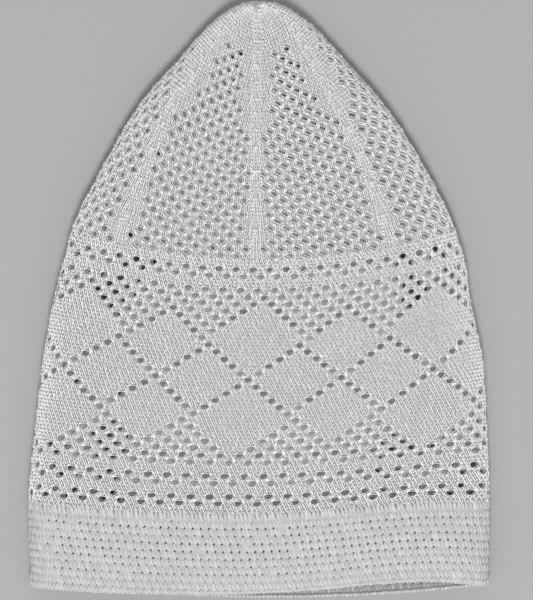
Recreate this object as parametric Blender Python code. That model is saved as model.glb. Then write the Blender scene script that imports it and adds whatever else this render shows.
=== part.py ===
"""A pointed openwork cap, knitted in white cotton and lying flat on its back layer.

The tip points to +Y, the rim to -Y, and +Z is up. The origin is the middle of the flat underside, so
the cap rests on z = 0. Its three knitted zones are hollow walls: the dense rim band, the lace wall
with its eyelet diamonds, and the gored crown, which closes at the tip. The mouth is open at the rim.

A lap is one knitted row, all the way round. A share of a lap runs from 0 at the left fold, over the
front layer to 0.5 at the right fold, and back along the underside. "Down" is the distance below the
tip along the middle of the front, and a unit is two courses of the lace.
"""

import math

import bmesh
import bpy
import numpy as np

# Overall sizes, in metres
CAP_HEIGHT = 0.2215
CAP_WIDTH = 0.1714
LYING_THICKNESS = 0.0150
BAND_HEIGHT = 0.0319
CROWN_HEIGHT = 0.1054

# Walls of the knitted zones, and the gap that the zones keep from each other
BAND_WALL = 0.0028
LACE_WALL = 0.0020
CROWN_WALL = 0.0020
ZONE_GAP = 0.0003

# How the lying cap folds over at its sides, and how softly its tip flattens
FRONT_FOLD_REACH = 0.0160
BACK_FOLD_REACH = 0.0090
FOLD_LEVEL_SHARE = 0.46
FRONT_DOME = 0.0012
TIP_SOFTNESS = 0.0080
TIP_LIFT = 0.0040
TIP_LIFT_REACH = 0.0260

# The front layer's rim is drawn up a little on the right, where the back layer's rim shows below it.
# The lift starts at this share of the half width, and is gone at this height above the rim.
FRONT_RIM_LIFT = 0.0031
FRONT_RIM_LIFT_START_SHARE = -0.2
FRONT_RIM_LIFT_HEIGHT = 0.0880

# The lace: eyelets in diamonds, ten round the cap, over a border row of eyelets
LACE_UNITS = 33
LACE_COLUMNS = 50
DIAMOND_COLUMNS = 5
FIRST_DIAMOND_COLUMN = 1
DIAMOND_MIDDLE_UNIT = 14
DIAMOND_STEPS = 2
UNITS_PER_STEP = 2
EYELET_ROW_REACH = 1
BORDER_UNIT = 28.5
BORDER_COLUMN_STEP = 2
PLAIN_ROW_UNITS = (0, 4, 23, LACE_UNITS)
EYELET_WIDTH = 0.0034
EYELET_HEIGHT = 0.0026
FIRST_COLUMN_SHARE = 0.004
TWIST_PER_UNIT = -0.00145

# The crown: six gores, with plain ribs between them
GORES = 6
COLUMNS_PER_GORE = 10
FIRST_RIB_SHARE = 0.24
RIB_HEIGHT = 0.0007
RIB_FADE_DOWN = 0.0450
CROWN_ROWS = 10
TIP_ROW_DOWN = 0.0030

# Mesh settings: rows of the band, samples along a lap, and how near a fold a column is split
BAND_ROWS = 3
LAP_SAMPLES = 720
FOLD_SHARE = 0.06
SMOOTH_ANGLE = math.radians(50)
SMALLEST_HALF_WIDTH = 0.000001

# How light each zone's cotton is
BAND_SHADE = 0.80
LACE_SHADE = 0.78
CROWN_SHADE = 0.79

# Sections of the flat outline. "down" and "bow" are shares of the cap's height, and "left" and
# "right" are shares of half its width. The bow is how far a row rises at its two ends.
SECTION_COLUMNS = ("down", "left", "right", "bow")
SECTIONS = (
    (0.000, 0.000, 0.000, 0.000),
    (0.017, 0.134, 0.143, 0.015),
    (0.050, 0.238, 0.255, 0.036),
    (0.100, 0.351, 0.372, 0.055),
    (0.168, 0.506, 0.528, 0.069),
    (0.235, 0.615, 0.649, 0.069),
    (0.302, 0.710, 0.749, 0.064),
    (0.369, 0.797, 0.835, 0.056),
    (0.436, 0.848, 0.892, 0.048),
    (0.503, 0.892, 0.918, 0.042),
    (0.603, 0.935, 0.970, 0.035),
    (0.704, 0.965, 0.987, 0.027),
    (0.838, 1.000, 1.000, 0.019),
    (0.938, 0.991, 0.994, 0.017),
    (1.000, 0.991, 0.994, 0.017),
)


def clear_scene():
    """Removes the startup objects."""
    for thing in list(bpy.data.objects):
        bpy.data.objects.remove(thing, do_unlink=True)


def cotton(name, shade):
    """A matt off-white cotton material."""
    material = bpy.data.materials.new(name)
    material.use_nodes = True
    shader = material.node_tree.nodes["Principled BSDF"]
    shader.inputs["Base Color"].default_value = (shade, shade, shade * 0.99, 1.0)
    shader.inputs["Roughness"].default_value = 0.9
    shader.inputs["Metallic"].default_value = 0.0
    return material


def smooth_step(value):
    """0 below 0, 1 above 1, and an even rise between."""
    held = np.clip(value, 0.0, 1.0)
    return held * held * (3.0 - 2.0 * held)


def section_value(column, down):
    """A column of the section table at this distance below the tip, on a smooth curve.

    The curve runs over the square root of the distance, which rounds the tip.
    """
    table = np.array(SECTIONS)
    roots = np.sqrt(table[:, SECTION_COLUMNS.index("down")])
    values = table[:, SECTION_COLUMNS.index(column)]
    slopes = np.gradient(values, roots)
    root = np.sqrt(np.clip(down / CAP_HEIGHT, 0.0, 1.0))
    here = np.clip(np.searchsorted(roots, root, side="right") - 1, 0, len(roots) - 2)
    span = roots[here + 1] - roots[here]
    part = (root - roots[here]) / span
    rest = 1.0 - part
    return (
        values[here] * rest * rest * (1.0 + 2.0 * part)
        + slopes[here] * span * rest * rest * part
        + values[here + 1] * part * part * (3.0 - 2.0 * part)
        - slopes[here + 1] * span * part * part * rest
    )


def section_point(down, x, front):
    """Points of the cap's outer face at each distance below the tip and distance from the middle.

    front says which layer a point is on.
    """
    left = section_value("left", down) * CAP_WIDTH / 2
    right = section_value("right", down) * CAP_WIDTH / 2
    half = np.maximum((left + right) / 2, SMALLEST_HALF_WIDTH)
    side = np.maximum(np.where(x > 0.0, right, left), SMALLEST_HALF_WIDTH)
    fullness = half / (half + TIP_SOFTNESS) * (CAP_WIDTH / 2 + TIP_SOFTNESS) / (CAP_WIDTH / 2)
    thickness = LYING_THICKNESS * fullness
    lift = TIP_LIFT * (1.0 - smooth_step(half / TIP_LIFT_REACH))
    reach = np.where(front, FRONT_FOLD_REACH, BACK_FOLD_REACH)
    reach = reach * side / (reach + side)
    past_flat = np.clip((np.abs(x) - side + reach) / reach, 0.0, 1.0)
    curve = np.sqrt(1.0 - past_flat**2)
    level = thickness * FOLD_LEVEL_SHARE
    dome = FRONT_DOME * fullness * (1.0 - np.clip(x / side, -1.0, 1.0) ** 2) ** 2
    top = level + (thickness - level) * curve + dome
    bottom = level - level * curve
    return np.stack([x, CAP_HEIGHT / 2 - down, np.where(front, top, bottom) + lift], axis=-1)


def lap_points(down, shares):
    """The points at these shares of a lap, spaced evenly along the row's own path."""
    turn = np.linspace(0.0, 2.0 * math.pi, LAP_SAMPLES + 1)
    across = -np.cos(turn)
    front = turn < math.pi
    bow = section_value("bow", np.array([down])) * CAP_HEIGHT
    left_end = section_value("left", down - bow) * CAP_WIDTH / 2
    right_end = section_value("right", down - bow) * CAP_WIDTH / 2
    drawn = np.clip((across - FRONT_RIM_LIFT_START_SHARE) / (1.0 - FRONT_RIM_LIFT_START_SHARE), 0.0, 1.0)
    faded = smooth_step(1.0 - (CAP_HEIGHT - down) / FRONT_RIM_LIFT_HEIGHT)
    drawn_up = np.where(front, FRONT_RIM_LIFT * faded * np.sin(math.pi * drawn**2), 0.0)
    x = across * np.where(across > 0.0, right_end, left_end)
    path = section_point(down - bow * across**2 - drawn_up, x, front)
    steps = np.linalg.norm(np.diff(path, axis=0), axis=1)
    length = np.concatenate([[0.0], np.cumsum(steps)])
    wanted = np.mod(shares, 1.0) * length[-1]
    return np.stack([np.interp(wanted, length, path[:, axis]) for axis in range(3)], axis=-1)


def lap_stations(columns, first_share):
    """The shares where a lap has vertices, one list for each column.

    A column has a vertex at its left edge, and one at its middle where it turns a fold.
    """
    stations = []
    for column in range(columns):
        edge = first_share + column / columns
        middle = edge + 0.5 / columns
        from_fold = abs((middle + 0.25) % 0.5 - 0.25)
        stations.append([edge, middle] if from_fold < FOLD_SHARE else [edge])
    return stations


def fill_cell(sheet, above, below):
    """Closes one cell between two rows with a quad for each pair of neighbouring vertices."""
    for left in range(len(above) - 1):
        sheet.faces.new((below[left], below[left + 1], above[left + 1], above[left]))


def pierce_cell(sheet, above, below):
    """Closes one cell round a diamond-shaped eyelet at its middle."""
    corners = (below[0], below[-1], above[-1], above[0])
    middle = sum((corner.co for corner in corners), start=corners[0].co * 0.0) / 4
    sideways = (below[-1].co + above[-1].co - below[0].co - above[0].co).normalized()
    upward = (above[0].co + above[-1].co - below[0].co - below[-1].co).normalized()
    bottom = sheet.verts.new(middle - upward * EYELET_HEIGHT / 2)
    right = sheet.verts.new(middle + sideways * EYELET_WIDTH / 2)
    top = sheet.verts.new(middle + upward * EYELET_HEIGHT / 2)
    left = sheet.verts.new(middle - sideways * EYELET_WIDTH / 2)
    for one, other in zip(below, below[1:]):
        sheet.faces.new((one, other, bottom))
    for one, other in zip(above, above[1:]):
        sheet.faces.new((other, one, top))
    sheet.faces.new((below[-1], above[-1], right))
    sheet.faces.new((above[0], below[0], left))
    sheet.faces.new((below[-1], right, bottom))
    sheet.faces.new((above[-1], top, right))
    sheet.faces.new((above[0], left, top))
    sheet.faces.new((below[0], bottom, left))


def knitted_sheet(downs, stations, turns, eyelets):
    """The outer face of one zone, as rows from the rim upwards, with its eyelets left open.

    turns is how far each row is turned round the cap, and eyelets holds (row, column) pairs.
    """
    sheet = bmesh.new()
    shares = np.array([share for column in stations for share in column])
    starts = np.cumsum([0] + [len(column) for column in stations])
    rows = []
    for down, turn in zip(downs, turns):
        rows.append([sheet.verts.new(point) for point in lap_points(down, shares + turn)])
    for row, (below, above) in enumerate(zip(rows, rows[1:])):
        for column in range(len(stations)):
            places = [place % len(shares) for place in range(starts[column], starts[column + 1] + 1)]
            close = pierce_cell if (row, column) in eyelets else fill_cell
            close(sheet, [above[place] for place in places], [below[place] for place in places])
    return sheet, rows


def add_wall(name, sheet, wall, shade):
    """Makes a zone's object from its outer face, with its wall inwards."""
    mesh = bpy.data.meshes.new(name)
    sheet.to_mesh(mesh)
    sheet.free()
    zone = bpy.data.objects.new(name, mesh)
    bpy.context.scene.collection.objects.link(zone)
    mesh.materials.append(cotton(name + "_cotton", shade))
    thicken = zone.modifiers.new("wall", "SOLIDIFY")
    thicken.thickness = wall
    thicken.offset = -1.0
    mesh.shade_smooth()
    mesh.set_sharp_from_angle(angle=SMOOTH_ANGLE)
    return zone


def make_rim_band():
    """The dense band at the open mouth."""
    downs = np.linspace(CAP_HEIGHT, CAP_HEIGHT - BAND_HEIGHT, BAND_ROWS + 1)
    stations = lap_stations(LACE_COLUMNS, FIRST_COLUMN_SHARE)
    sheet, _ = knitted_sheet(downs, stations, np.zeros(len(downs)), set())
    add_wall("rim_band", sheet, BAND_WALL, BAND_SHADE)


def make_lace_wall():
    """The straight side: a border row and ten diamonds, outlined by every other eyelet."""
    height = CAP_HEIGHT - BAND_HEIGHT - CROWN_HEIGHT - ZONE_GAP
    unit = height / LACE_UNITS
    steps = range(-DIAMOND_STEPS, DIAMOND_STEPS + 1)
    eyelet_rows = [DIAMOND_MIDDLE_UNIT + UNITS_PER_STEP * step for step in steps] + [BORDER_UNIT]
    edges = {row + side for row in eyelet_rows for side in (-EYELET_ROW_REACH, EYELET_ROW_REACH)}
    edges = sorted(edges | set(PLAIN_ROW_UNITS), reverse=True)
    downs = [CROWN_HEIGHT + edge * unit for edge in edges]
    turns = [TWIST_PER_UNIT * (edge - DIAMOND_MIDDLE_UNIT) for edge in edges]
    eyelets = set()
    for column in range(LACE_COLUMNS):
        from_diamond = (column - FIRST_DIAMOND_COLUMN) % DIAMOND_COLUMNS
        reach = UNITS_PER_STEP * min(from_diamond, DIAMOND_COLUMNS - from_diamond)
        for middle in {DIAMOND_MIDDLE_UNIT - reach, DIAMOND_MIDDLE_UNIT + reach}:
            eyelets.add((edges.index(middle + EYELET_ROW_REACH), column))
        if column % BORDER_COLUMN_STEP == 0:
            eyelets.add((edges.index(BORDER_UNIT + EYELET_ROW_REACH), column))
    stations = lap_stations(LACE_COLUMNS, FIRST_COLUMN_SHARE)
    sheet, _ = knitted_sheet(downs, stations, turns, eyelets)
    add_wall("lace_wall", sheet, LACE_WALL, LACE_SHADE)


def make_crown():
    """The gored crown, closed at its tip, with a raised plain rib between each two gores.

    Its rows draw closer towards the round tip.
    """
    columns = GORES * COLUMNS_PER_GORE
    stations = lap_stations(columns, FIRST_RIB_SHARE)
    lowest = math.sqrt(CROWN_HEIGHT - ZONE_GAP)
    downs = np.linspace(lowest, math.sqrt(TIP_ROW_DOWN), CROWN_ROWS + 1) ** 2
    sheet, rows = knitted_sheet(downs, stations, np.zeros(len(downs)), set())
    pole = sheet.verts.new(section_point(np.zeros(1), np.zeros(1), np.array([False]))[0])
    last = rows[-1]
    pole.co.z = sum(vertex.co.z for vertex in last) / len(last)
    for place, vertex in enumerate(last):
        sheet.faces.new((vertex, last[(place + 1) % len(last)], pole))
    sheet.normal_update()
    starts = np.cumsum([0] + [len(column) for column in stations])
    for row, down in zip(rows[1:], downs[1:]):
        raised = RIB_HEIGHT * smooth_step(down / RIB_FADE_DOWN)
        for gore in range(GORES):
            vertex = row[starts[gore * COLUMNS_PER_GORE]]
            vertex.co += vertex.normal * raised
            vertex.co.z = max(vertex.co.z, 0.0)
    add_wall("crown", sheet, CROWN_WALL, CROWN_SHADE)


def main():
    """Builds the cap from its rim to its tip."""
    clear_scene()
    make_rim_band()
    make_lace_wall()
    make_crown()


main()
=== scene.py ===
"""The looks of a pointed white cotton cap, knitted in openwork and lying flat on its back layer.

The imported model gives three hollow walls: the rim band, the lace wall and the gored crown. Each is
dressed here as it is knitted: a thin base sheet with its eyelets open, and on it one short plump
length of yarn for each leg of each stitch. A lap is one row, all the way round the cap. A share of a
lap runs from 0 at the left fold, over the front layer to 0.5 at the right fold, and back along the
underside. "Down" is the distance below the tip along the middle of the front. In the lace, a column
is two stitches wide and a row is two courses high, and rows are counted downwards.
"""

import logging
import math
from collections.abc import Callable
from dataclasses import dataclass, field
from enum import Enum
from functools import partial

import bpy
import numpy as np
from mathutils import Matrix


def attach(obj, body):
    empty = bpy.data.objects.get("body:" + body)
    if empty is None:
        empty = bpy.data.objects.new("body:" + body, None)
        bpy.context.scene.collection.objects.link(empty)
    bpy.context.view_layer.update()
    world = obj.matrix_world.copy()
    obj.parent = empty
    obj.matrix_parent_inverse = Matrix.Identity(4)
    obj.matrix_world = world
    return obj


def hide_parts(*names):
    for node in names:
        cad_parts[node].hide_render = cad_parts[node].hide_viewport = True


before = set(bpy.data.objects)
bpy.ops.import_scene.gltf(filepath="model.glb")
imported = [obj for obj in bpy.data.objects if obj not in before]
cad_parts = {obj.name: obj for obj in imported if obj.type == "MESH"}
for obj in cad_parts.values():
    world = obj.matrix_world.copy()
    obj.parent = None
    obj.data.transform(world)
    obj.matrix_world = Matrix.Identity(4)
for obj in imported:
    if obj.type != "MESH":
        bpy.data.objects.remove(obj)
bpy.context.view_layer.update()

LOG = logging.getLogger("cap")
BODY = "root"
PIXEL = 0.000371
SEED = 7
LEAST_LENGTH = 1e-12


class Zone(Enum):
    """The cap's three knitted zones: each one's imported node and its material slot."""

    BAND = ("rim_band", "band_knit")
    WALL = ("lace_wall", "lace_knit")
    CROWN = ("crown", "crown_knit")

    @property
    def node(self) -> str:
        """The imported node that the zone's pieces replace."""
        return self.value[0]

    @property
    def slot(self) -> str:
        """The record's material slot of the zone."""
        return self.value[1]


def smooth_step(value: np.ndarray) -> np.ndarray:
    """0 below 0, 1 above 1, and an even rise between."""
    held = np.clip(value, 0.0, 1.0)
    return held * held * (3.0 - 2.0 * held)


def unit(vectors: np.ndarray) -> np.ndarray:
    """The vectors at length 1."""
    return vectors / np.maximum(np.linalg.norm(vectors, axis=-1, keepdims=True), LEAST_LENGTH)


@dataclass
class CapForm:
    """The outer face of the lying cap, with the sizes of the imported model, in metres.

    Sections of the flat outline are rows of (down, left, right, bow): down and bow are shares of the
    height, and left and right are shares of half the width. The bow is how far a row rises at its ends.
    """

    height: float = 0.2215
    width: float = 0.1714
    lying_thickness: float = 0.0150
    band_height: float = 0.0319
    crown_height: float = 0.1054
    zone_gap: float = 0.0003
    front_fold_reach: float = 0.0160
    back_fold_reach: float = 0.0090
    fold_level_share: float = 0.46
    front_dome: float = 0.0012
    tip_softness: float = 0.0080
    tip_lift: float = 0.0040
    tip_lift_reach: float = 0.0260
    rim_lift: float = 0.0031
    rim_lift_start: float = -0.2
    rim_lift_height: float = 0.0880
    sections: tuple[tuple[float, float, float, float], ...] = (
        (0.000, 0.000, 0.000, 0.000),
        (0.017, 0.134, 0.143, 0.015),
        (0.050, 0.238, 0.255, 0.036),
        (0.100, 0.351, 0.372, 0.055),
        (0.168, 0.506, 0.528, 0.069),
        (0.235, 0.615, 0.649, 0.069),
        (0.302, 0.710, 0.749, 0.064),
        (0.369, 0.797, 0.835, 0.056),
        (0.436, 0.848, 0.892, 0.048),
        (0.503, 0.892, 0.918, 0.042),
        (0.603, 0.935, 0.970, 0.035),
        (0.704, 0.965, 0.987, 0.027),
        (0.838, 1.000, 1.000, 0.019),
        (0.938, 0.991, 0.994, 0.017),
        (1.000, 0.991, 0.994, 0.017),
    )
    table_rows: int = 480
    table_columns: int = 1080
    table_reach: float = 1.02
    last_row_margin: float = 1.001
    slope_step: float = 0.0006
    slope_least_lap: float = 0.0060
    smallest: float = 0.000001
    points: np.ndarray = field(init=False, repr=False)
    laps: np.ndarray = field(init=False, repr=False)

    def __post_init__(self) -> None:
        """Fills the tables of points and of lap lengths."""
        shares = np.linspace(0.0, 1.0, self.table_columns + 1)
        roots = np.linspace(0.0, self.table_reach, self.table_rows)
        laps = [self._lap(root * root * self.height, shares) for root in roots]
        self.points = np.array([points for points, _ in laps])
        self.laps = np.array([length for _, length in laps])

    def _section(self, column: int, down: np.ndarray) -> np.ndarray:
        """A column of the section table at each distance below the tip, on a smooth curve.

        Args:
            column: 1 for left, 2 for right and 3 for bow.
            down: distances below the tip.

        Returns:
            The values there, as shares.
        """
        table = np.array(self.sections)
        roots = np.sqrt(table[:, 0])
        values = table[:, column]
        slopes = np.gradient(values, roots)
        root = np.sqrt(np.clip(down / self.height, 0.0, 1.0))
        here = np.clip(np.searchsorted(roots, root, side="right") - 1, 0, len(roots) - 2)
        span = roots[here + 1] - roots[here]
        part = (root - roots[here]) / span
        rest = 1.0 - part
        return (
            values[here] * rest * rest * (1.0 + 2.0 * part)
            + slopes[here] * span * rest * rest * part
            + values[here + 1] * part * part * (3.0 - 2.0 * part)
            - slopes[here + 1] * span * part * part * rest
        )

    def _section_points(self, down: np.ndarray, x: np.ndarray, front: np.ndarray) -> np.ndarray:
        """Points of the outer face.

        Args:
            down: distances below the tip.
            x: distances from the middle, to the right.
            front: whether each point is on the front layer.

        Returns:
            The points, one row each.
        """
        left = self._section(1, down) * self.width / 2
        right = self._section(2, down) * self.width / 2
        half = np.maximum((left + right) / 2, self.smallest)
        side = np.maximum(np.where(x > 0.0, right, left), self.smallest)
        widest = (self.width / 2 + self.tip_softness) / (self.width / 2)
        fullness = half / (half + self.tip_softness) * widest
        thickness = self.lying_thickness * fullness
        lift = self.tip_lift * (1.0 - smooth_step(half / self.tip_lift_reach))
        reach = np.where(front, self.front_fold_reach, self.back_fold_reach)
        reach = reach * side / (reach + side)
        past_flat = np.clip((np.abs(x) - side + reach) / reach, 0.0, 1.0)
        curve = np.sqrt(1.0 - past_flat**2)
        level = thickness * self.fold_level_share
        dome = self.front_dome * fullness * (1.0 - np.clip(x / side, -1.0, 1.0) ** 2) ** 2
        top = level + (thickness - level) * curve + dome
        bottom = level - level * curve
        return np.stack([x, self.height / 2 - down, np.where(front, top, bottom) + lift], axis=-1)

    def _lap(self, down: float, shares: np.ndarray) -> tuple[np.ndarray, float]:
        """The points at these shares of one lap, and the lap's length.

        Args:
            down: the lap's distance below the tip.
            shares: where the points lie along the lap.

        Returns:
            The points, and the length all the way round.
        """
        turn = np.linspace(0.0, 2.0 * math.pi, self.table_columns + 1)
        across = -np.cos(turn)
        front = turn < math.pi
        bow = self._section(3, np.array([down])) * self.height
        left_end = self._section(1, down - bow) * self.width / 2
        right_end = self._section(2, down - bow) * self.width / 2
        drawn = np.clip((across - self.rim_lift_start) / (1.0 - self.rim_lift_start), 0.0, 1.0)
        faded = smooth_step(1.0 - (self.height - down) / self.rim_lift_height)
        drawn_up = np.where(front, self.rim_lift * faded * np.sin(math.pi * drawn**2), 0.0)
        x = across * np.where(across > 0.0, right_end, left_end)
        path = self._section_points(down - bow * across**2 - drawn_up, x, front)
        steps = np.linalg.norm(np.diff(path, axis=0), axis=1)
        length = np.concatenate([[0.0], np.cumsum(steps)])
        wanted = shares * length[-1]
        found = [np.interp(wanted, length, path[:, axis]) for axis in range(3)]
        return np.stack(found, axis=-1), float(length[-1])

    def lap_length(self, down: np.ndarray) -> np.ndarray:
        """The length of the lap at each distance below the tip."""
        roots = np.linspace(0.0, self.table_reach, self.table_rows)
        return np.interp(np.sqrt(np.clip(down, 0.0, None) / self.height), roots, self.laps)

    def face(self, share: np.ndarray, down: np.ndarray) -> np.ndarray:
        """Points of the outer face, read from the table.

        Args:
            share: shares of a lap, which wrap round.
            down: distances below the tip.

        Returns:
            The points, one row each.
        """
        row = np.sqrt(np.clip(down, 0.0, None) / self.height) / self.table_reach
        row = np.clip(row * (self.table_rows - 1), 0.0, self.table_rows - self.last_row_margin)
        column = np.mod(share, 1.0) * self.table_columns
        above = row.astype(int)
        before = np.minimum(column.astype(int), self.table_columns - 1)
        row_part = (row - above)[:, None]
        column_part = (column - before)[:, None]
        upper, lower = (
            self.points[near, before] * (1 - column_part) + self.points[near, before + 1] * column_part
            for near in (above, above + 1)
        )
        return upper * (1 - row_part) + lower * row_part

    def outward(self, share: np.ndarray, down: np.ndarray) -> np.ndarray:
        """Directions straight out of the outer face.

        Args:
            share: shares of a lap.
            down: distances below the tip.

        Returns:
            The directions, at length 1.
        """
        step_share = self.slope_step / np.maximum(self.lap_length(down), self.slope_least_lap)
        step_down = np.minimum(self.slope_step, down / 2 + self.smallest)
        along = self.face(share + step_share, down) - self.face(share - step_share, down)
        below = self.face(share, down + step_down) - self.face(share, down - step_down)
        return unit(np.cross(below, along))


@dataclass(frozen=True)
class EyeletMap:
    """Which cells of a lattice are open, and how far the knitting dips towards them.

    The depths and widths are in metres. The lattice wraps round where it is the whole lap.
    """

    open_cells: np.ndarray
    first_column: int
    first_row: int
    wraps: bool
    cell_width: float
    cell_height: float
    depth: float = 0.00055
    spread: float = 0.00150

    def dip(self, columns: np.ndarray, rows: np.ndarray) -> np.ndarray:
        """How far the knitting lies below its plain level at places given in columns and rows.

        Args:
            columns: places across, in cells.
            rows: places down, in cells.

        Returns:
            The depths.
        """
        height, width = self.open_cells.shape
        near_column, near_row = np.round(columns).astype(int), np.round(rows).astype(int)
        total = np.zeros(np.shape(columns))
        for row_step in (-1, 0, 1):
            for column_step in (-1, 0, 1):
                row, column = near_row + row_step, near_column + column_step
                row_index, column_index = row - self.first_row, column - self.first_column
                if self.wraps:
                    column_index = np.mod(column_index, width)
                inside = (row_index >= 0) & (row_index < height)
                inside = inside & (column_index >= 0) & (column_index < width)
                is_open = self.open_cells[
                    np.clip(row_index, 0, height - 1), np.clip(column_index, 0, width - 1)
                ]
                across = (columns - column) * self.cell_width
                along = (rows - row) * self.cell_height
                near = np.exp(-(across**2 + along**2) / self.spread**2)
                total += np.where(inside & is_open, near, 0.0)
        return self.depth * total


@dataclass(frozen=True)
class LaceChart:
    """Where the lace has eyelets, charted in columns of two stitches and rows of two courses.

    Diamonds of plain knitting are rows of (first column, columns apart, middle row, half).
    """

    form: CapForm
    columns: int = 100
    wall_rows: int = 33
    wall_first_row: int = -8
    rows_above_wall: int = 4
    first_share: float = 0.094
    turn_per_row: float = -0.00145
    turn_from_row: int = 6
    turn_sharpness: float = 2.5
    turn_lead: float = 0.35
    net_rows: tuple[int, int] = (-7, 18)
    border_rows: tuple[int, ...] = (-10, -9, 20, 21, 23, 24)
    diamonds: tuple[tuple[int, int, int, int], ...] = (
        (4, 20, 1, 5),
        (14, 20, 0, 6),
        (-1, 10, 6, 5),
        (4, 20, 11, 5),
        (14, 20, 12, 6),
    )

    def eyelet_map(self) -> EyeletMap:
        """The whole lattice's open cells.

        Returns:
            The map, which wraps round.
        """
        first, last = self.wall_first_row - self.rows_above_wall, self.wall_first_row + self.wall_rows
        rows = range(first, last + 1)
        cells = [[self.is_eyelet(column, row) for column in range(self.columns)] for row in rows]
        width = 2 * self.form.width / self.columns
        return EyeletMap(np.array(cells), 0, rows[0], True, width, self.row_height)

    @property
    def row_height(self) -> float:
        """The height of two courses.

        Returns:
            The height in metres.
        """
        form = self.form
        wall = form.height - form.band_height - form.crown_height - form.zone_gap
        return wall / self.wall_rows

    def down(self, row: np.ndarray) -> np.ndarray:
        """The distance below the tip of each row."""
        return self.form.crown_height + self.row_height * (row - self.wall_first_row)

    def share(self, column: np.ndarray, row: np.ndarray) -> np.ndarray:
        """The share of a lap of each column.

        The columns drift as the rows go down: to the left as seen from above, on both layers.

        Args:
            column: places across, in columns.
            row: places down, in rows.

        Returns:
            Shares of a lap, which may lie a little outside 0 to 1.
        """
        place = column / self.columns + self.first_share
        layer = np.sin(2.0 * math.pi * place) + self.turn_lead
        layer = np.clip(self.turn_sharpness * layer, -1.0, 1.0)
        return place + self.turn_per_row * (row - self.turn_from_row) * layer

    def is_plain(self, column: int, row: int) -> bool:
        """Whether a cell lies inside a plain diamond.

        Args:
            column: the cell's column.
            row: the cell's row.

        Returns:
            True inside a diamond.
        """
        for first, apart, middle, half in self.diamonds:
            sideways = (column - first) % apart
            sideways = min(sideways, apart - sideways)
            if sideways + abs(row - middle) < half:
                return True
        return False

    def is_eyelet(self, column: int, row: int) -> bool:
        """Whether a cell is an eyelet.

        Args:
            column: the cell's column.
            row: the cell's row.

        Returns:
            True where the cell is open.
        """
        if (column - row) % 2:
            return False
        if row in self.border_rows:
            return True
        in_net = self.net_rows[0] <= row <= self.net_rows[1]
        return in_net and not self.is_plain(column, row)


@dataclass(frozen=True)
class GoreChart:
    """The crown's six gores, whose stitches run straight up and end at the ribs between them."""

    form: CapForm
    lace: LaceChart
    gores: int = 6
    first_rib_share: float = 0.24
    first_row: int = -12
    last_eyelet_row: int = -41
    pitch_at_tip: float = 3.17 * PIXEL
    pitch_growth: float = 0.0039
    rib_widths: tuple[tuple[float, float], ...] = (
        (0.0267, 0.0058),
        (0.0360, 0.0052),
        (0.0445, 0.0045),
        (0.0538, 0.0028),
        (0.0675, 0.0026),
        (0.0890, 0.0032),
    )
    widest_column: int = 10
    mean_width_share: float = 1.2
    back_gores: tuple[int, ...] = (2, 3)
    fold_gores: tuple[int, ...] = (1, 4)
    fold_column: int = 1

    def eyelet_map(self, gore: int) -> EyeletMap:
        """The open cells of one gore.

        Args:
            gore: the gore's number, from 0.

        Returns:
            The map, in the gore's own columns.
        """
        rows = range(self.last_eyelet_row, self.first_row + 1)
        columns = range(-self.widest_column, self.widest_column + 1)
        cells = [[self.is_eyelet(gore, column, row) for column in columns] for row in rows]
        width = 2 * self.pitch_at_tip * self.mean_width_share
        return EyeletMap(np.array(cells), columns[0], rows[0], False, width, self.lace.row_height)

    def pitch(self, down: np.ndarray) -> np.ndarray:
        """The width of one stitch at each distance below the tip."""
        return self.pitch_at_tip + self.pitch_growth * down

    def half_gore(self, down: np.ndarray) -> np.ndarray:
        """Half a gore's width at each distance below the tip."""
        return self.form.lap_length(down) / (2 * self.gores)

    def rib_half(self, down: float) -> float:
        """Half the width of the plain rib at this distance below the tip."""
        table = np.array(self.rib_widths)
        return float(np.interp(down, table[:, 0], table[:, 1]))

    def share(self, gore: int, stitches: np.ndarray, down: np.ndarray) -> np.ndarray:
        """The share of a lap, a number of stitches to the right of a gore's middle.

        Args:
            gore: the gore's number, from 0.
            stitches: distances from its middle, counted in stitches.
            down: distances below the tip.

        Returns:
            Shares of a lap.
        """
        middle = self.first_rib_share + (gore + 0.5) / self.gores
        lap = np.maximum(self.form.lap_length(down), self.form.smallest)
        return middle + stitches * self.pitch(down) / lap

    def is_eyelet(self, gore: int, column: int, row: int) -> bool:
        """Whether a cell is an eyelet.

        Args:
            gore: the gore's number.
            column: the cell's column, counted from the gore's middle.
            row: the cell's row.

        Returns:
            True where the cell is open.
        """
        on_fold = gore in self.fold_gores
        moved = column + 1 if gore in self.back_gores or (on_fold and column > self.fold_column) else column
        if (moved - row) % 2 or row > self.first_row or row < self.last_eyelet_row:
            return False
        if on_fold and column == self.fold_column:
            return False
        down = float(self.lace.down(np.array(float(row))))
        reach = abs(column) * 2 * self.pitch(down)
        return reach < float(self.half_gore(down)) - self.rib_half(down)


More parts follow.
